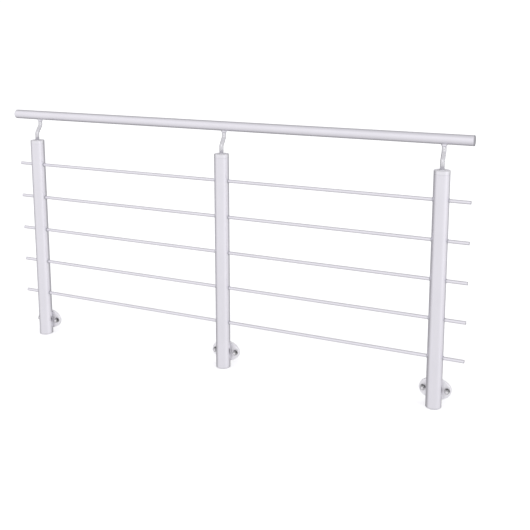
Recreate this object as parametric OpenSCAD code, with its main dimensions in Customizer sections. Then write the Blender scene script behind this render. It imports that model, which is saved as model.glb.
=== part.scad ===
// Wall-mounted railing: three round posts stand on oval flanges that are bolted to the face of
// a wall, five thin cross rods run through the posts, and a round handrail sits above the post
// tops on cranked pins.
// Millimetres. The origin is the centre of the middle flange's back face. X runs along the
// rail, Y points into the wall and Z points up.

/* [Bays] */
// Distance between the axes of the left and the middle post
bay_left = 1000; // [700:10:1400]
// Distance between the axes of the middle and the right post
bay_right = 960; // [700:10:1400]

/* [Posts] */
// Outside diameter of a post
post_d = 65; // [55:1:80]
// Wall of a post's tube
post_wall = 3; // [2:0.5:5]
// Height of the capped post top above the flange's centre
post_rise = 924; // [860:1:1100]
// Length of the post below the flange's centre
post_drop = 65; // [60:1:150]
// Height of the top cap's band that shows
cap_band = 15; // [8:1:25]
// Thickness of metal under the pin's socket in the top cap
cap_floor = 4; // [2:0.5:6]
// Height of the foot cap's rim that shows
foot_band = 4; // [3:1:12]
// Length of a post cap's plug inside the tube
cap_plug = 18; // [10:1:25]
// Wall of a post cap's plug
cap_plug_wall = 3; // [2:0.5:6]
// Chamfer on the outer edge of a post cap
cap_chamfer = 1; // [0.5:0.25:2]

/* [Cross rods] */
// Outside diameter of a rod
rod_d = 14; // [10:0.5:18]
// Wall of a rod's tube
rod_wall = 1.5; // [1:0.25:2]
// Distance from the post top down to the top rod's axis
rod_drop = 120; // [80:1:160]
// Distance from one rod's axis down to the next
rod_pitch = 163.5; // [100:0.5:170]
// Length of the rods past the left post's axis
rod_reach_left = 105; // [60:1:250]
// Length of the rods past the right post's axis
rod_reach_right = 117; // [60:1:250]
// Thickness of a rod's end cap that shows
rod_cap_t = 2; // [1:0.5:4]
// Length of a rod cap's plug inside the rod
rod_cap_plug = 8; // [5:1:15]
// Wall of a rod cap's plug
rod_cap_plug_wall = 1.5; // [1:0.25:2]
// Chamfer on the outer edge of a rod's end cap
rod_cap_chamfer = 0.8; // [0.25:0.05:0.9]

/* [Rod bushes] */
// Wall of the sleeve that lines a rod's hole in the post
bush_wall = 1.3; // [1:0.1:3]
// Width of the bush's lip outside the hole
bush_lip_w = 1; // [0.8:0.1:3]
// Thickness of the lip where it stands on the post's widest line
bush_lip_t = 1.2; // [0.8:0.1:3]
// Length of sleeve that reaches into the post
bush_inside = 3; // [1:0.5:6]

/* [Handrail] */
// Outside diameter of the handrail
rail_d = 42.4; // [38:0.1:50]
// Wall of the handrail's tube
rail_wall = 2; // [1.5:0.5:4]
// Distance of the handrail's axis from the post axes, towards the wall
rail_shift = 27; // [15:1:40]
// Length of the handrail past the left post's axis
rail_reach_left = 139; // [80:1:300]
// Length of the handrail past the right post's axis
rail_reach_right = 117; // [80:1:300]
// Thickness of the handrail's end cap that shows
rail_cap_t = 3; // [2:0.5:8]
// Length of the handrail cap's plug inside the tube
rail_cap_plug = 15; // [10:1:30]
// Wall of the handrail cap's plug
rail_cap_plug_wall = 3; // [2:0.5:5]
// Chamfer on the outer edge of the handrail's end cap
rail_cap_chamfer = 1.2; // [0.5:0.1:1.8]

/* [Handrail pins] */
// Diameter of a pin
pin_d = 18; // [14:0.5:22]
// Height from the post top to the corner of the pin's lower bend
pin_low = 36; // [25:1:60]
// Height between the corners of the pin's two bends
pin_crank = 34; // [25:1:60]
// Height from the upper bend's corner to the handrail's underside
pin_high = 28; // [25:1:60]
// Bend radius on the pin's centre line
pin_bend_r = 20; // [14:1:24]
// Wall of the coped seat around the pin's upper end
seat_wall = 2; // [1.5:0.25:6]
// Height of the coped seat below the handrail's underside
seat_h = 6; // [4:0.5:12]

/* [Wall flanges] */
// Width of a flange along the wall
flange_w = 135; // [126:1:180]
// Height of a flange
flange_h = 94; // [70:1:110]
// Thickness of a flange
flange_t = 12; // [9:0.5:20]
// Thickness of flange left between the post and the wall
flange_web = 3.5; // [2:0.5:7]
// Chamfer on the flange's front edge
flange_chamfer = 2; // [1:0.5:4]
// Distance between the two anchor holes of a flange
anchor_spacing = 100; // [96:1:106]
// Diameter of an anchor hole
anchor_hole_d = 13; // [12:0.5:14]
// Nominal diameter of the anchor studs
anchor_d = 12; // [10:1:12]
// Outside diameter of a washer
washer_d = 24; // [20:1:26]
// Thickness of a washer
washer_t = 2.5; // [1.5:0.5:4]
// Width of a nut across its flats
nut_flats = 19; // [16:1:22]
// Height of a nut
nut_h = 10; // [6:1:14]

/* [Seams and clearances] */
// Bevel of a cap where it meets its tube, which leaves a fine groove round the seam
seam_bevel = 0.5; // [0.2:0.1:1]
// Radial clearance of plugs, pins, sleeves and rods in their holes
fit_gap = 0.1; // [0.05:0.05:0.3]
// Distance between two curved surfaces that are joined by a weld
weld_gap = 0.1; // [0.05:0.05:0.3]

/* [Hidden] */
$fn = 72;

SIDES = ["left", "middle", "right"];
LEFT = 0;
RIGHT = 2;
ROD_COUNT = 5;
RODS = [1 : ROD_COUNT];

SILVER = "#dcdbe2";
SATIN = "#c9c9d1";
STEEL = "#9fa1a6";
NYLON = "#b9b9bf";

// How far a cutting shape runs past the surface that it cuts
cut = 1;

post_r = post_d / 2;
post_bore_r = post_r - post_wall;
post_axis_y = -(flange_web + post_r);
post_x = [-bay_left, 0, bay_right];
post_tube_low = -post_drop + foot_band;
post_tube_high = post_rise - cap_band;
pin_socket = cap_band - cap_floor;

rail_r = rail_d / 2;
rail_y = post_axis_y + rail_shift;
rail_underside = post_rise + pin_low + pin_crank + pin_high;
rail_z = rail_underside + rail_r;
rail_x0 = -bay_left - rail_reach_left;
rail_x1 = bay_right + rail_reach_right;

rod_top = post_rise - rod_drop;
rod_x0 = -bay_left - rod_reach_left;
rod_x1 = bay_right + rod_reach_right;
bush_bore_d = rod_d + 2 * fit_gap;
bush_sleeve_d = bush_bore_d + 2 * bush_wall;
bush_lip_d = bush_sleeve_d + 2 * bush_lip_w;
bush_hole_d = bush_sleeve_d + 2 * fit_gap;

seat_d = pin_d + 2 * fit_gap + 2 * seat_wall;
pin_lean = atan2(rail_shift, pin_crank);
pin_tangent = pin_bend_r * tan(pin_lean / 2);
PIN_SIDES = 32;
PIN_POINTS = [0 : PIN_SIDES - 1];
PIN_STEPS = 7;
PIN_LEANS = [for (k = [0 : PIN_STEPS]) pin_lean * k / PIN_STEPS];

// Points round a flange's outline, one for each step of the angle
OUTLINE_STEP = 3.75;

function rod_z(i) = rod_top - (i - 1) * rod_pitch;
function oval(w, h) = [
    for (a = [0 : OUTLINE_STEP : 360 - OUTLINE_STEP]) [w / 2 * cos(a), h / 2 * sin(a)]
];

// Puts its children on a post's axis, at the height of the flange's centre
module at_post(side) {
    translate([post_x[side], post_axis_y, 0]) children();
}

// Turns a shape that stands along Z so that it lies along +X
module along_x() {
    rotate([0, 90, 0]) children();
}

// Turns a shape that stands along Z so that it points out of the wall
module out_of_wall() {
    rotate([90, 0, 0]) children();
}

// A round tube that stands on z = 0
module tube(d, wall, length) {
    difference() {
        cylinder(d = d, h = length);
        translate([0, 0, -cut]) cylinder(d = d - 2 * wall, h = length + 2 * cut);
    }
}

// The cap of a tube: a chamfered disc above z = 0 and a hollow plug below it
module tube_cap(d, wall, disc_t, chamfer, plug, plug_wall) {
    plug_r = d / 2 - wall - fit_gap;
    bevel = min(seam_bevel, (disc_t - chamfer) / 2);
    rotate_extrude() polygon([
        [0, 0],
        [plug_r - plug_wall, 0],
        [plug_r - plug_wall, -plug],
        [plug_r, -plug],
        [plug_r, 0],
        [d / 2 - bevel, 0],
        [d / 2, bevel],
        [d / 2, disc_t - chamfer],
        [d / 2 - chamfer, disc_t],
        [0, disc_t]
    ]);
}

module handrail_tube() {
    color(SILVER)
    translate([rail_x0 + rail_cap_t, rail_y, rail_z])
    along_x() tube(rail_d, rail_wall, rail_x1 - rail_x0 - 2 * rail_cap_t);
}

module rail_cap() {
    tube_cap(rail_d, rail_wall, rail_cap_t, rail_cap_chamfer, rail_cap_plug, rail_cap_plug_wall);
}

module handrail_cap_left() {
    color(SATIN)
    translate([rail_x0 + rail_cap_t, rail_y, rail_z])
    mirror([1, 0, 0]) along_x() rail_cap();
}

module handrail_cap_right() {
    color(SATIN)
    translate([rail_x1 - rail_cap_t, rail_y, rail_z])
    along_x() rail_cap();
}

// The rings along a pin, each as [distance from the post's axis, height, lean]: the lower end,
// the lower bend, the upper bend and the upper end
function pin_rings() = concat(
    [[0, post_rise - pin_socket, 0]],
    [for (lean = PIN_LEANS) [
        pin_bend_r * (1 - cos(lean)),
        post_rise + pin_low - pin_tangent + pin_bend_r * sin(lean),
        lean
    ]],
    [for (lean = PIN_LEANS) let(back = pin_lean - lean) [
        rail_shift - pin_bend_r * (1 - cos(back)),
        rail_underside - pin_high + pin_tangent - pin_bend_r * sin(back),
        back
    ]],
    [[rail_shift, rail_underside - weld_gap, 0]]
);

// A bent round bar: its rings share one number of points, and each ring faces along the bar
module handrail_pin(side) {
    rings = pin_rings();
    last = len(rings) - 1;
    points = [
        for (ring = rings, j = PIN_POINTS)
            let(turn = 360 * j / PIN_SIDES, across = pin_d / 2 * sin(turn))
            [
                pin_d / 2 * cos(turn),
                ring[0] + across * cos(ring[2]),
                ring[1] - across * sin(ring[2])
            ]
    ];
    walls = [
        for (i = [0 : last - 1], j = PIN_POINTS)
            let(next = (j + 1) % PIN_SIDES, low = i * PIN_SIDES, high = low + PIN_SIDES)
            [low + j, high + j, high + next, low + next]
    ];
    foot = [for (j = PIN_POINTS) j];
    head = [for (j = PIN_POINTS) last * PIN_SIDES + PIN_SIDES - 1 - j];
    color(SILVER)
    at_post(side) polyhedron(points, concat(walls, [foot, head]));
}

module handrail_seat(side) {
    color(SATIN)
    difference() {
        translate([post_x[side], rail_y, rail_underside - seat_h])
            cylinder(d = seat_d, h = seat_h + rail_r);
        translate([post_x[side], rail_y, rail_underside - seat_h - cut])
            cylinder(d = pin_d + 2 * fit_gap, h = seat_h + rail_r + 2 * cut);
        translate([post_x[side] - seat_d, rail_y, rail_z])
            along_x() cylinder(r = rail_r + weld_gap, h = 2 * seat_d);
    }
}

module post(side) {
    color(SILVER)
    at_post(side) difference() {
        translate([0, 0, post_tube_low]) tube(post_d, post_wall, post_tube_high - post_tube_low);
        for (i = RODS)
            translate([-post_d, 0, rod_z(i)]) along_x() cylinder(d = bush_hole_d, h = 2 * post_d);
    }
}

module post_top_cap(side) {
    color(SATIN)
    at_post(side) difference() {
        translate([0, 0, post_tube_high])
            tube_cap(post_d, post_wall, cap_band, cap_chamfer, cap_plug, cap_plug_wall);
        translate([0, 0, post_rise - pin_socket])
            cylinder(d = pin_d + 2 * fit_gap, h = pin_socket + cut);
    }
}

module post_foot_cap(side) {
    color(SATIN)
    at_post(side) translate([0, 0, post_tube_low]) mirror([0, 0, 1])
        tube_cap(post_d, post_wall, foot_band, cap_chamfer, cap_plug, cap_plug_wall);
}

module cross_rod(i) {
    color(SILVER)
    translate([rod_x0 + rod_cap_t, post_axis_y, rod_z(i)])
    along_x() tube(rod_d, rod_wall, rod_x1 - rod_x0 - 2 * rod_cap_t);
}

module rod_cap() {
    tube_cap(rod_d, rod_wall, rod_cap_t, rod_cap_chamfer, rod_cap_plug, rod_cap_plug_wall);
}

module rod_end_caps(i) {
    color(SATIN) {
        translate([rod_x0 + rod_cap_t, post_axis_y, rod_z(i)])
            mirror([1, 0, 0]) along_x() rod_cap();
        translate([rod_x1 - rod_cap_t, post_axis_y, rod_z(i)])
            along_x() rod_cap();
    }
}

// A bush on the +X side of a post: a sleeve through the tube's wall and a lip shaped to the tube
module rod_bush() {
    sleeve_x = post_bore_r - bush_inside;
    tip_x = post_r + bush_lip_t;
    difference() {
        union() {
            difference() {
                along_x() cylinder(d = bush_lip_d, h = tip_x);
                translate([0, 0, -bush_lip_d]) cylinder(r = post_r + weld_gap, h = 2 * bush_lip_d);
            }
            translate([sleeve_x, 0, 0]) along_x() cylinder(d = bush_sleeve_d, h = tip_x - sleeve_x);
        }
        translate([sleeve_x - cut, 0, 0])
            along_x() cylinder(d = bush_bore_d, h = tip_x - sleeve_x + 2 * cut);
    }
}

module rod_bushes(side) {
    color(NYLON)
    at_post(side)
    for (i = RODS)
        translate([0, 0, rod_z(i)]) {
            rod_bush();
            mirror([1, 0, 0]) rod_bush();
        }
}

module wall_flange(side) {
    body_t = flange_t - flange_chamfer;
    slice = 0.01;
    color(SILVER)
    difference() {
        translate([post_x[side], 0, 0]) out_of_wall() {
            linear_extrude(body_t) polygon(oval(flange_w, flange_h));
            translate([0, 0, body_t]) hull() {
                linear_extrude(slice) polygon(oval(flange_w, flange_h));
                linear_extrude(flange_chamfer)
                    polygon(oval(flange_w - 2 * flange_chamfer, flange_h - 2 * flange_chamfer));
            }
        }
        at_post(side) translate([0, 0, -flange_h])
            cylinder(r = post_r + weld_gap, h = 2 * flange_h);
        at_anchors(side, -cut) cylinder(d = anchor_hole_d, h = flange_t + 2 * cut);
    }
}

// Puts its children on both anchor axes of a flange, at a distance in front of the wall
module at_anchors(side, front) {
    for (end = [-1, 1])
        translate([post_x[side] + end * anchor_spacing / 2, -front, 0]) out_of_wall() children();
}

module anchor_washers(side) {
    color(STEEL)
    at_anchors(side, flange_t) difference() {
        cylinder(d = washer_d, h = washer_t);
        translate([0, 0, -cut]) cylinder(d = anchor_hole_d, h = washer_t + 2 * cut);
    }
}

// A hexagon nut on z = 0, its outer corners turned down by a shallow cone
module hex_nut() {
    corner_r = nut_flats / 2 / cos(30);
    turned = (corner_r - nut_flats / 2) * tan(30);
    difference() {
        intersection() {
            cylinder(r = corner_r, h = nut_h, $fn = 6);
            rotate_extrude() polygon([
                [0, 0],
                [corner_r + cut, 0],
                [corner_r + cut, nut_h - turned - cut * tan(30)],
                [nut_flats / 2, nut_h],
                [0, nut_h]
            ]);
        }
        translate([0, 0, -cut]) cylinder(d = anchor_d, h = nut_h + 2 * cut);
    }
}

module anchor_nuts(side) {
    color(STEEL)
    at_anchors(side, flange_t + washer_t) hex_nut();
}

handrail_tube();
handrail_cap_left();
handrail_cap_right();
for (side = [LEFT : RIGHT]) {
    handrail_pin(side);
    handrail_seat(side);
    post(side);
    post_top_cap(side);
    post_foot_cap(side);
    rod_bushes(side);
    wall_flange(side);
    anchor_washers(side);
    anchor_nuts(side);
}
for (i = RODS) {
    cross_rod(i);
    rod_end_caps(i);
}
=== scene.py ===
"""Looks of the wall-mounted railing: satin silver tubes, weld beads, threaded stud ends."""

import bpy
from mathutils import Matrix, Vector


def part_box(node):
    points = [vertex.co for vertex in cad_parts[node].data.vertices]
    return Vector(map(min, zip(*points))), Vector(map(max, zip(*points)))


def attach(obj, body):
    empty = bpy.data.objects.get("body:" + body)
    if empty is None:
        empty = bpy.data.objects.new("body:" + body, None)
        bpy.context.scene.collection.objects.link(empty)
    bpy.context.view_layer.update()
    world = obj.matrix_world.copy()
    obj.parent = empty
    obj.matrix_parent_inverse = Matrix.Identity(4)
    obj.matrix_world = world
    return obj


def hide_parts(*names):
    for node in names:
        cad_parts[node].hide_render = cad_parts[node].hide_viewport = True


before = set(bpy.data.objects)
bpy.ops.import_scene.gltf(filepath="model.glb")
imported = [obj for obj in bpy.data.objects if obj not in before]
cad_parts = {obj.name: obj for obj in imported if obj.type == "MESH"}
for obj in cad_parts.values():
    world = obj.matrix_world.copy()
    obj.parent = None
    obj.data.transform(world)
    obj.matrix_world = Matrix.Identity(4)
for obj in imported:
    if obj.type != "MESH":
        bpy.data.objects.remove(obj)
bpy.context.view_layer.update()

import math

import bpy
import numpy as np

SIDES = ("left", "middle", "right")
RODS = range(1, 6)
MM = 0.001

# Camera of the photograph: place in metres, turn and tilt in degrees, focal length and shift in
# pixels
PHOTO_PX = 530
SENSOR_MM = 36
CAMERA_PLACE = (1.4973, -3.0553, 1.5038)
CAMERA_TURN = 23.129
CAMERA_TILT = 9.439
FOCAL_PX = 778.9
HORIZON_SHIFT_PX = -115.9


def corners(node):
    """Lowest and highest corner of a CAD node, as arrays."""
    low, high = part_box(node)
    return np.array(low), np.array(high)


def middle_of(node):
    low, high = corners(node)
    return (low + high) / 2


def radius_of(node, across=0):
    """Half of a CAD node's width along X, or along another axis by its number."""
    low, high = corners(node)
    return (high[across] - low[across]) / 2


def make_camera():
    camera = bpy.data.objects.new("camera", bpy.data.cameras.new("camera"))
    bpy.context.scene.collection.objects.link(camera)
    camera.location = CAMERA_PLACE
    camera.rotation_euler = (math.radians(90 - CAMERA_TILT), 0, math.radians(CAMERA_TURN))
    camera.data.sensor_width = SENSOR_MM
    camera.data.lens = FOCAL_PX / PHOTO_PX * SENSOR_MM
    camera.data.shift_y = HORIZON_SHIFT_PX / PHOTO_PX
    bpy.context.scene.camera = camera


class Nodes:
    """Short calls for building a node tree."""

    def __init__(self, tree):
        self.tree = tree
        tree.nodes.clear()

    def add(self, kind, links=None, **values):
        node = self.tree.nodes.new("ShaderNode" + kind)
        for name, value in values.items():
            setattr(node, name, value)
        for socket, source in (links or {}).items():
            if hasattr(source, "is_output"):
                self.tree.links.new(source, node.inputs[socket])
            else:
                node.inputs[socket].default_value = source
        return node


def new_material(name):
    material = bpy.data.materials.new(name)
    material.use_nodes = True
    return material, Nodes(material.node_tree)


def math_node(nodes, operation, a, b):
    return nodes.add("Math", {0: a, 1: b}, operation=operation).outputs[0]


def vector_node(nodes, operation, a, b):
    return nodes.add("VectorMath", {0: a, 1: b}, operation=operation).outputs[0]


def dot_node(nodes, a, b):
    return nodes.add("VectorMath", {0: a, 1: b}, operation="DOT_PRODUCT").outputs["Value"]


def ramp(nodes, value, source, target):
    """Maps a value from one range to another, held at the ends."""
    return nodes.add("MapRange", {
        "Value": value, "From Min": source[0], "From Max": source[1],
        "To Min": target[0], "To Max": target[1]}).outputs[0]


def endwise(nodes, axis):
    """How far a face looks along an axis, from 0 for across it to 1."""
    looks = nodes.add("SeparateXYZ", {0: nodes.add("NewGeometry").outputs["True Normal"]})
    return nodes.add("Math", {0: looks.outputs["xyz".index(axis)]}, operation="ABSOLUTE").outputs[0]


def from_axis(nodes, place, centre, axis):
    """Offset of a point from the centre, whole and square to the axis "x" or "z" alone."""
    centred = vector_node(nodes, "SUBTRACT", place, tuple(centre))
    flat = (0, 1, 1) if axis == "x" else (1, 1, 0)
    return centred, vector_node(nodes, "MULTIPLY", centred, flat)


# Satin metal: detail of its fine lines, scale and detail of its cloudy patches, the share of the
# lines in the mottle, the ranges of mottle and lines that are used, how far the roughness swings
# about its mean, rays to find the crevices that get painted shade, and depth of the relief
LINE_DETAIL = 3.0
CLOUD_SCALE = 9.0
CLOUD_DETAIL = 4.0
LINE_SHARE = 0.6
MOTTLE_RANGE = (0.4, 1.2)
LINE_RANGE = (0.3, 0.7)
ROUGHNESS_SWING = 0.04
CREVICE_SHADE_RAYS = 6
RELIEF_DEPTH = 0.5 * MM

# How far a face looks along the axis: from a nut's sides, which get painted shade, to its front
# face, and from a turned piece's rim to its end face. Then how well a face agrees with the true
# cylinder on a tube's side
NUT_SHADE_RANGE = (0.3, 0.8)
TURNED_END = (0.9, 0.95)
TUBE_OUTSIDE = 0.9

# Lines per metre: the lathe's rings, and drawing along X and along Z
LATHE_LINES = 1400
DRAWN_X = (7, 900, 900)
DRAWN_Z = (900, 900, 7)

SILVER = (0.83, 0.815, 0.865)
PLATE_SILVER = (0.95, 0.94, 0.97)
PIN_SILVER = (0.70, 0.695, 0.72)
CAP_SILVER = (0.85, 0.84, 0.88)
RAIL_CAP_GREY = (0.53, 0.525, 0.56)
ROD_CAP_GREY = (0.74, 0.73, 0.77)
WELD_SILVER = (0.80, 0.79, 0.83)
STAINLESS = (0.78, 0.77, 0.79)
NUT_STEEL = (0.58, 0.58, 0.59)
BUSH_GREY = (0.60, 0.60, 0.64)

# Roughness of the tubes and of what is finished like them
SATIN = 0.34


def satin_metal(nodes, lines, color, roughness, patches=0.03, scratch=0.02, crevice=0.3,
                reach=12 * MM, metallic=1.0, normal=None, flats=1.0, specular=0.5):
    """Shader of satin metal whose fine lines come from a noise read at the point "lines".

    Cloudy patches and the lines vary the tone, crevices within "reach" get painted shade, the
    base colour darkened by ambient occlusion, and roughness and relief follow the lines.
    metallic is a number or a node's output. The faces that lie along Y, as a nut's sides, can be
    given painted shade, a darker tone against those that look along it. specular is the gloss
    of what isn't metallic.
    """
    place = nodes.add("TexCoord").outputs["Object"]
    line = nodes.add("TexNoise", {"Vector": lines, "Scale": 1.0, "Detail": LINE_DETAIL}).outputs["Fac"]
    cloud = nodes.add("TexNoise", {
        "Vector": place, "Scale": CLOUD_SCALE, "Detail": CLOUD_DETAIL}).outputs["Fac"]
    mottle = math_node(nodes, "ADD", cloud, math_node(nodes, "MULTIPLY", line, LINE_SHARE))
    tone = ramp(nodes, mottle, MOTTLE_RANGE, (1 - patches, 1 + patches))
    # Painted shade: the base colour is darkened in crevices that ambient occlusion finds within reach
    open_air = nodes.add("AmbientOcclusion", {"Distance": reach}, samples=CREVICE_SHADE_RAYS).outputs["AO"]
    shade = ramp(nodes, open_air, (0, 1), (1 - crevice, 1))
    # Painted shade: faces that lie along Y, as a nut's sides, are darker than those that look along it
    if flats < 1:
        front = ramp(nodes, endwise(nodes, "y"), NUT_SHADE_RANGE, (flats, 1))
        shade = math_node(nodes, "MULTIPLY", shade, front)
    tint = nodes.add("VectorMath", {0: color, "Scale": math_node(nodes, "MULTIPLY", tone, shade)},
                     operation="SCALE").outputs[0]
    rough = ramp(nodes, line, LINE_RANGE, (roughness - ROUGHNESS_SWING, roughness + ROUGHNESS_SWING))
    relief = {"Strength": scratch, "Distance": RELIEF_DEPTH, "Height": line}
    if normal:
        relief["Normal"] = normal
    shader = nodes.add("BsdfPrincipled", {
        "Base Color": tint, "Metallic": metallic, "Roughness": rough, "Specular IOR Level": specular,
        "Normal": nodes.add("Bump", relief).outputs[0]})
    nodes.add("OutputMaterial", {"Surface": shader.outputs[0]})


def grained(name, grain, color, roughness, **look):
    """Metal with straight grain: grain gives the lines per metre along X, Y and Z."""
    material, nodes = new_material(name)
    place = nodes.add("TexCoord").outputs["Object"]
    satin_metal(nodes, vector_node(nodes, "MULTIPLY", place, grain), color, roughness, **look)
    return material


def round_normal(nodes, place, node, axis):
    """The normal of a true cylinder on the outside of a tube whose axis is "x" or "z".

    Everywhere else, as at its ends and in its holes, it is the mesh's own normal.
    """
    across = from_axis(nodes, place, middle_of(node), axis)[1]
    outward = nodes.add("VectorMath", {0: across}, operation="NORMALIZE").outputs[0]
    face = nodes.add("NewGeometry")
    agree = dot_node(nodes, outward, face.outputs["True Normal"])
    outside = math_node(nodes, "GREATER_THAN", agree, TUBE_OUTSIDE)
    mix = nodes.add("Mix", {0: outside, 4: face.outputs["Normal"], 5: outward}, data_type="VECTOR")
    return mix.outputs[1]


def drawn_tube(node, axis):
    """Silver with its grain along a tube's axis, "x" or "z"."""
    material, nodes = new_material(f"silver_{node}")
    place = nodes.add("TexCoord").outputs["Object"]
    lines = vector_node(nodes, "MULTIPLY", place, DRAWN_X if axis == "x" else DRAWN_Z)
    satin_metal(nodes, lines, SILVER, SATIN, scratch=0.03,
                normal=round_normal(nodes, place, node, axis))
    return material


def turned(name, axis, centre, color, roughness, faced=1.0, **look):
    """Metal turned on a lathe: rings round the line through centre along the axis "x" or "z".

    faced is how metallic the flat end faces are, whose finish is duller than the rim's.
    """
    material, nodes = new_material(name)
    place = nodes.add("TexCoord").outputs["Object"]
    centred, across = from_axis(nodes, place, centre, axis)
    radius = nodes.add("VectorMath", {0: across}, operation="LENGTH").outputs["Value"]
    run = nodes.add("SeparateXYZ", {0: centred}).outputs["xyz".index(axis)]
    lines = nodes.add("CombineXYZ", {
        0: math_node(nodes, "MULTIPLY", radius, LATHE_LINES),
        1: math_node(nodes, "MULTIPLY", run, LATHE_LINES)}).outputs[0]
    if faced < 1:
        look["metallic"] = ramp(nodes, endwise(nodes, axis), TURNED_END, (1.0, faced))
    satin_metal(nodes, lines, color, roughness, **look)
    return material


def make_materials():
    """One material for each finish; those turned on a lathe also know their own axis."""
    materials = {
        "seat": grained("silver_seat", DRAWN_Z, SILVER, SATIN, scratch=0.03),
        "pin": grained("silver_pin", DRAWN_Z, PIN_SILVER, roughness=0.18, crevice=0.0),
        "plate": grained("silver_plate", (260, 260, 260), PLATE_SILVER, roughness=0.42,
                         patches=0.05, reach=6 * MM, metallic=0.35),
        "rod_cap": grained("grey_rod_cap", (900, 900, 900), ROD_CAP_GREY, SATIN),
        "weld": grained("silver_weld", (300, 300, 300), WELD_SILVER, roughness=0.36,
                        patches=0.08, crevice=0.15),
        "steel": grained("stainless", (500, 500, 500), STAINLESS, roughness=0.27, crevice=0.6),
        # The nut gets painted shade on its sides and in its crevices
        "nut": grained("stainless_nut", (400, 400, 400), NUT_STEEL, roughness=0.22, crevice=0.6,
                       flats=0.22),
        "bush": grained("grey_bush", (700, 700, 700), BUSH_GREY, roughness=0.55, metallic=0.0),
        "rail_cap": turned("grey_turned_rail", "x", middle_of("handrail_tube"), RAIL_CAP_GREY, SATIN),
    }
    for side in SIDES:
        materials[f"turned_{side}"] = turned(
            f"silver_turned_{side}", "z", middle_of(f"post_{side}"), CAP_SILVER, roughness=0.30,
            scratch=0.04, faced=0.0, specular=0.1)
    return materials


def dress(node, material):
    """Gives a CAD node its material."""
    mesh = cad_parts[node].data
    mesh.materials.clear()
    mesh.materials.append(material)


def dress_nodes(materials):
    for i in RODS:
        dress(f"cross_rod_{i}", drawn_tube(f"cross_rod_{i}", "x"))
        dress(f"rod_end_caps_{i}", materials["rod_cap"])
    dress("handrail_tube", drawn_tube("handrail_tube", "x"))
    dress("handrail_cap_left", materials["rail_cap"])
    dress("handrail_cap_right", materials["rail_cap"])
    for side in SIDES:
        dress(f"post_{side}", drawn_tube(f"post_{side}", "z"))
        dress(f"handrail_pin_{side}", materials["pin"])
        dress(f"handrail_seat_{side}", materials["seat"])
        dress(f"post_top_cap_{side}", materials[f"turned_{side}"])
        dress(f"post_foot_cap_{side}", materials[f"turned_{side}"])
        dress(f"wall_flange_{side}", materials["plate"])
        dress(f"anchor_washers_{side}", materials["steel"])
        dress(f"anchor_nuts_{side}", materials["nut"])
        dress(f"rod_bushes_{side}", materials["bush"])


def add_piece(name, vertices, faces, material):
    """A new mesh piece with smooth faces, riding on the railing."""
    mesh = bpy.data.meshes.new(name)
    mesh.from_pydata([tuple(v) for v in vertices], [], faces)
    mesh.polygons.foreach_set("use_smooth", [True] * len(mesh.polygons))
    mesh.materials.append(material)
    mesh.update()
    piece = bpy.data.objects.new(name, mesh)
    bpy.context.scene.collection.objects.link(piece)
    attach(piece, "root")
    return piece


def ring_faces(rings, sides, closed_loop, start=0):
    """Quads between neighbouring rings of points, and caps on an open strip's ends."""
    faces = []
    for i in range(rings if closed_loop else rings - 1):
        a, b = start + i * sides, start + (i + 1) % rings * sides
        faces += [(a + j, a + (j + 1) % sides, b + (j + 1) % sides, b + j) for j in range(sides)]
    if not closed_loop:
        faces.append(tuple(start + j for j in reversed(range(sides))))
        faces.append(tuple(start + (rings - 1) * sides + j for j in range(sides)))
    return faces


# The cranked pin's line: from the post's top up to the corner of its lower bend, from there up
# to the corner of its upper bend, and the radius of both bends; points round the bar, and rings
# in each bend
PIN_LOW = 36 * MM
PIN_CRANK = 34 * MM
PIN_BEND_R = 20 * MM
PIN_SIDES = 64
PIN_STEPS = 24


def pin_bar(side, material):
    """The cranked pin as one smooth round bar, along the line of its CAD node."""
    low, high = corners(f"handrail_pin_{side}")
    radius = (high[0] - low[0]) / 2
    shift = high[1] - low[1] - 2 * radius
    lean = math.atan2(shift, PIN_CRANK)
    tangent = PIN_BEND_R * math.tan(lean / 2)
    lower_bend = corners(f"post_top_cap_{side}")[1][2] + PIN_LOW - tangent
    upper_bend = lower_bend + PIN_CRANK + 2 * tangent
    # Each station is how far back and how high the bar's line is, and how far it leans there
    stations = [(0, low[2], 0)]
    for turn in np.linspace(0, lean, PIN_STEPS):
        back = PIN_BEND_R * (1 - math.cos(turn))
        stations.append((back, lower_bend + PIN_BEND_R * math.sin(turn), turn))
    for turn in np.linspace(lean, 0, PIN_STEPS):
        back = shift - PIN_BEND_R * (1 - math.cos(turn))
        stations.append((back, upper_bend - PIN_BEND_R * math.sin(turn), turn))
    stations.append((shift, high[2], 0))
    around = np.arange(PIN_SIDES) * 2 * math.pi / PIN_SIDES
    middle = (low[0] + high[0]) / 2, low[1] + radius
    rings = [np.stack([middle[0] + radius * np.cos(around),
                       middle[1] + back + radius * np.sin(around) * math.cos(turn),
                       height - radius * np.sin(around) * math.sin(turn)], axis=1)
             for back, height, turn in stations]
    faces = ring_faces(len(rings), PIN_SIDES, False)
    piece = add_piece(f"pin_bar_{side}", np.concatenate(rings), faces, material)
    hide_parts(f"handrail_pin_{side}")


# Weld beads: points across a bead, the ripples' pitch, and stations in a ripple
BEAD_POINTS = 9
RIPPLE = 1.7 * MM
RIPPLE_STEPS = 6
# How far a ripple's middle lags behind its sides, and the share of it that rises
RIPPLE_LAG = 0.55
RIPPLE_RISE = 0.75
# As shares of the leg: depth of the root in the corner, swelling of the crown, reach and swelling
# of the ripples, length of a faded end, and the square of the leg's share that is left there
BEAD_ROOT = 0.15
BEAD_CROWN = 0.16
RIPPLE_REACH = 0.05
RIPPLE_CROWN = 0.07
BEAD_FADE = 1.2
BEAD_END = 0.02
# Legs of the beads on the flanges and round the pins and seats, and how far short of the
# flange's edge a bead ends
FLANGE_LEG = 5 * MM
SMALL_LEG = 2.2 * MM
FLANGE_SHORT = 4 * MM


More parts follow.
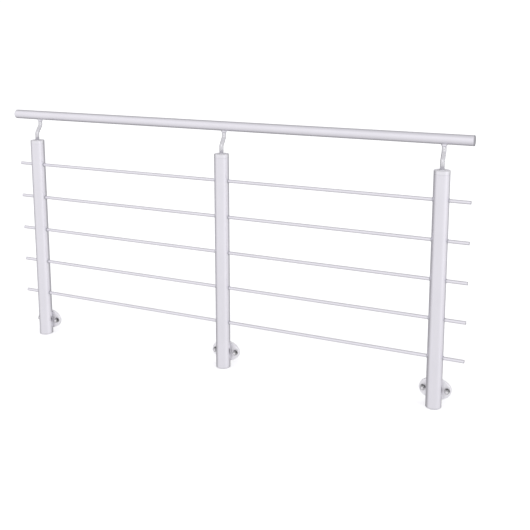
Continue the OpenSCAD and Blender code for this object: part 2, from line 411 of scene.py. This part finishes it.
def bead(corner, along_a, along_b, lengths, leg, closed_loop):
    """Points of a rippled fillet weld in the corner of two surfaces.

    corner, along_a and along_b are arrays with one row per station: the corner's point and the
    unit directions in which the two surfaces leave it. lengths is the distance run so far.
    """
    out = along_a + along_b
    out /= np.linalg.norm(out, axis=1)[:, None]
    fade = np.ones(len(lengths))
    if not closed_loop:
        ends = np.minimum(lengths, lengths[-1] - lengths)
        fade = np.sqrt(np.clip(ends / (BEAD_FADE * leg), BEAD_END, 1))
    rows = [corner - out * BEAD_ROOT * leg]
    for s in np.linspace(0, 1, BEAD_POINTS):
        crown = math.sin(math.pi * s)
        phase = (lengths / RIPPLE - RIPPLE_LAG * crown) % 1
        wave = np.where(phase < RIPPLE_RISE, phase / RIPPLE_RISE, (1 - phase) / (1 - RIPPLE_RISE))
        reach = leg * fade * (1 + RIPPLE_REACH * wave)
        swell = leg * fade * crown * (BEAD_CROWN + RIPPLE_CROWN * wave)
        rows.append(corner + reach[:, None] * ((1 - s) * along_a + s * along_b) + swell[:, None] * out)
    return np.stack(rows, axis=1).reshape(-1, 3)


def bead_piece(name, strips, material):
    """One weld piece out of several bead strips."""
    vertices, faces = [], []
    for corner, along_a, along_b, lengths, leg, closed_loop in strips:
        start = sum(len(v) for v in vertices)
        faces += ring_faces(len(corner), BEAD_POINTS + 1, closed_loop, start)
        vertices.append(bead(corner, along_a, along_b, lengths, leg, closed_loop))
    add_piece(name, np.concatenate(vertices), faces, material)


def round_stations(radius):
    """Stations of a bead round a level circle, in whole ripples.

    Gives the unit direction outwards at each station and the distance run so far.
    """
    count = round(2 * math.pi * radius / RIPPLE) * RIPPLE_STEPS
    turn = np.arange(count) * 2 * math.pi / count
    outward = np.stack([np.cos(turn), np.sin(turn), 0 * turn], axis=1)
    return outward, np.arange(count) * RIPPLE / RIPPLE_STEPS


def flange_welds(side, material):
    """Two upright beads where the flange's front face meets the post."""
    centre, radius = middle_of(f"post_{side}"), radius_of(f"post_{side}")
    flange_low, flange_high = corners(f"wall_flange_{side}")
    face_y = flange_low[1]
    half = flange_high - (flange_low + flange_high) / 2
    depth = face_y - centre[1]
    reach = math.sqrt(radius ** 2 - depth ** 2)
    half_length = half[2] * math.sqrt(1 - ((reach + FLANGE_LEG) / half[0]) ** 2) - FLANGE_SHORT
    lengths = np.arange(0, 2 * half_length, RIPPLE / RIPPLE_STEPS)
    strips = []
    for sign in (-1, 1):
        rows = np.ones((len(lengths), 1))
        corner = rows * (centre[0] + sign * reach, face_y, 0) + lengths[:, None] * (0, 0, 1)
        corner[:, 2] -= half_length
        along_face = rows * (sign, 0, 0)
        along_post = rows * (sign * depth / radius, -reach / radius, 0)
        pair = (along_face, along_post) if sign > 0 else (along_post, along_face)
        strips.append((corner, *pair, lengths, FLANGE_LEG, False))
    bead_piece(f"flange_welds_{side}", strips, material)


def pin_foot_weld(side, material):
    """A small bead round the pin where it leaves the post's cap."""
    outward, lengths = round_stations(radius_of(f"handrail_pin_{side}"))
    centre = middle_of(f"post_top_cap_{side}")
    cap_top = corners(f"post_top_cap_{side}")[1][2]
    corner = outward * radius_of(f"handrail_pin_{side}") + (centre[0], centre[1], cap_top)
    upward = np.ones((len(outward), 1)) * (0, 0, 1)
    bead_piece(f"pin_foot_weld_{side}", [(corner, outward, upward, lengths, SMALL_LEG, True)], material)


def seat_weld(side, material):
    """A bead along the saddle line between the coped seat and the handrail."""
    radius = radius_of(f"handrail_seat_{side}")
    rail_centre, rail_radius = middle_of("handrail_tube"), radius_of("handrail_tube", across=2)
    outward, lengths = round_stations(radius)
    corner = outward * radius
    corner[:, 2] = -np.sqrt(rail_radius ** 2 - corner[:, 1] ** 2)
    normal = corner * (0, 1, 1) / rail_radius
    along_rail = outward - (outward * normal).sum(axis=1)[:, None] * normal
    along_rail /= np.linalg.norm(along_rail, axis=1)[:, None]
    downward = np.ones((len(outward), 1)) * (0, 0, -1)
    corner += (middle_of(f"handrail_seat_{side}")[0], rail_centre[1], rail_centre[2])
    bead_piece(f"handrail_seat_weld_{side}",
               [(corner, downward, along_rail, lengths, SMALL_LEG, True)], material)


# Threaded studs: radius of the thread and of the core, pitch, how far a stud stands out of its
# nut, points round it, and rings in each turn of the thread
STUD_RADIUS = 5.95 * MM
STUD_CORE = 5.0 * MM
STUD_PITCH = 1.75 * MM
STUD_OUT = 7.5 * MM
STUD_SIDES = 28
STUD_STEPS = 8
# The thread's profile: height in the middle of a crest, cut off at 1, and its fall over a pitch
CREST_HEIGHT = 1.25
CREST_FALL = 2.9
# Radius of the stud's tip as a share of the core's, and how fast it grows from there
TIP_SHARE = 0.86
TIP_GROWTH = 0.9


def stud_points(x, tip_y):
    """A threaded bar on the line (x, y, 0) from the flanges' back plane to its chamfered tip.

    Gives its points, ring by ring, and the number of rings.
    """
    length = -tip_y
    count = int(length / STUD_PITCH * STUD_STEPS)
    rings = []
    turn = np.arange(STUD_SIDES) * 2 * math.pi / STUD_SIDES
    for i in range(count + 1):
        along = length * i / count
        phase = (along / STUD_PITCH - turn / (2 * math.pi)) % 1
        crest = np.clip(CREST_HEIGHT - np.abs(phase - 0.5) * CREST_FALL, 0, 1)
        radius = STUD_CORE + (STUD_RADIUS - STUD_CORE) * crest
        radius = np.minimum(radius, STUD_CORE * TIP_SHARE + (length - along) * TIP_GROWTH)
        rings.append(np.stack([x + radius * np.cos(turn), 0 * turn - along, radius * np.sin(turn)], 1))
    return np.concatenate(rings), len(rings)


def anchor_studs(side, material):
    """The studs in both nuts of a flange, on the axes of its washers."""
    washers_low, washers_high = corners(f"anchor_washers_{side}")
    half_washer = (washers_high[2] - washers_low[2]) / 2
    tip_y = corners(f"anchor_nuts_{side}")[0][1] - STUD_OUT
    vertices, faces = [], []
    for x in (washers_low[0] + half_washer, washers_high[0] - half_washer):
        points, rings = stud_points(x, tip_y)
        faces += ring_faces(rings, STUD_SIDES, False, sum(len(v) for v in vertices))
        vertices.append(points)
    add_piece(f"anchor_studs_{side}", np.concatenate(vertices), faces, material)


# The floor: half of its side in metres, its distance below the feet, its colour and glow
FLOOR_HALF = 60
FLOOR_GAP = 0.5 * MM
FLOOR_PALE = (0.92, 0.92, 0.93, 1)
FLOOR_GLOW = 0.36
WHITE = (1, 1, 1, 1)


def make_floor():
    """A plain pale floor under the posts' feet; the light from below comes from the world."""
    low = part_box("post_foot_cap_middle")[0][2] - FLOOR_GAP
    mesh = bpy.data.meshes.new("floor")
    mesh.from_pydata([(x * FLOOR_HALF, y * FLOOR_HALF, low)
                      for x, y in ((-1, -1), (1, -1), (1, 1), (-1, 1))], [], [(0, 1, 2, 3)])
    material, nodes = new_material("floor")
    shader = nodes.add("BsdfPrincipled", {
        "Base Color": FLOOR_PALE, "Roughness": 1.0, "Specular IOR Level": 0.0,
        "Emission Color": WHITE, "Emission Strength": FLOOR_GLOW})
    nodes.add("OutputMaterial", {"Surface": shader.outputs[0]})
    mesh.materials.append(material)
    floor = bpy.data.objects.new("floor", mesh)
    bpy.context.scene.collection.objects.link(floor)
    floor.visible_glossy = False
    floor.visible_diffuse = False


# Studio light as levels over the sky: a wide bright dome in front and a soft panel on the right,
# each given by its middle's azimuth from the front towards +X and its height, in degrees, and by
# the cosines of the angles from there at which it starts and is full. The dome has one level
# outside it and one inside
DOME_WAY = (28, 8)
DOME_EDGE = (-0.58, -0.12)
DOME_LEVELS = (0.43, 0.965)
PANEL_WAY = (77, -8)
PANEL_EDGE = (0.92, 0.985)
PANEL_LEVEL = 0.20
# How the dome's level changes from straight down, -1, to straight up, 1
HEIGHT_LEVELS = ((-1.0, 0.76), (-0.35, 0.98), (0.0, 1.04), (0.6, 1.09), (0.92, 0.90), (1.0, 0.75))
LIGHT_COLOR = (0.99, 0.985, 1.0, 1)
# Strength of the white backdrop that the camera sees
BACKGROUND = 1.05
# The key light: place, point that it looks at and size in metres, and power in watts
KEY_PLACE = (2.6, -4.2, 3.0)
KEY_AIM = (0, 0, 0.5)
KEY_SIZE = (1.6, 2.4)
KEY_POWER = 8


def direction(azimuth, height):
    turn, rise = math.radians(azimuth), math.radians(height)
    return (math.cos(rise) * math.sin(turn), -math.cos(rise) * math.cos(turn), math.sin(rise))


def make_world():
    world = bpy.data.worlds.new("studio")
    world.use_nodes = True
    bpy.context.scene.world = world
    nodes = Nodes(world.node_tree)
    way = nodes.add("TexCoord").outputs["Generated"]
    dome = ramp(nodes, dot_node(nodes, way, direction(*DOME_WAY)), DOME_EDGE, DOME_LEVELS)
    panel = ramp(nodes, dot_node(nodes, way, direction(*PANEL_WAY)), PANEL_EDGE, (0, PANEL_LEVEL))
    height = nodes.add("SeparateXYZ", {0: way}).outputs["Z"]
    rise = nodes.add("ValToRGB", {"Fac": ramp(nodes, height, (-1, 1), (0, 1))})
    stops = rise.color_ramp.elements
    while len(stops) < len(HEIGHT_LEVELS):
        stops.new(0.5)
    for stop, (at, value) in zip(stops, HEIGHT_LEVELS):
        stop.position = (at + 1) / 2
        stop.color = (value, value, value, 1)
    dome = math_node(nodes, "MULTIPLY", dome, rise.outputs["Color"])
    level = math_node(nodes, "ADD", dome, panel)
    soft = nodes.add("Background", {"Color": LIGHT_COLOR, "Strength": level}).outputs[0]
    white = nodes.add("Background", {"Color": WHITE, "Strength": BACKGROUND}).outputs[0]
    eye = nodes.add("LightPath").outputs["Is Camera Ray"]
    mix = nodes.add("MixShader", {0: eye, 1: soft, 2: white}).outputs[0]
    nodes.add("OutputWorld", {"Surface": mix})


def make_key_light():
    light = bpy.data.lights.new("key", "AREA")
    light.shape = "RECTANGLE"
    light.size, light.size_y = KEY_SIZE
    light.energy = KEY_POWER
    lamp = bpy.data.objects.new("key", light)
    bpy.context.scene.collection.objects.link(lamp)
    lamp.location = KEY_PLACE
    toward = np.array(KEY_AIM) - np.array(KEY_PLACE)
    turn = math.atan2(-toward[0], toward[1])
    drop = math.atan2(np.hypot(toward[0], toward[1]), -toward[2])
    lamp.rotation_euler = (drop, 0, turn)


make_camera()
materials = make_materials()
dress_nodes(materials)
for side in SIDES:
    pin_bar(side, materials["pin"])
    flange_welds(side, materials["weld"])
    pin_foot_weld(side, materials["weld"])
    seat_weld(side, materials["weld"])
    anchor_studs(side, materials["steel"])
make_floor()
make_world()
make_key_light()
bpy.context.scene.view_settings.view_transform = "Standard"
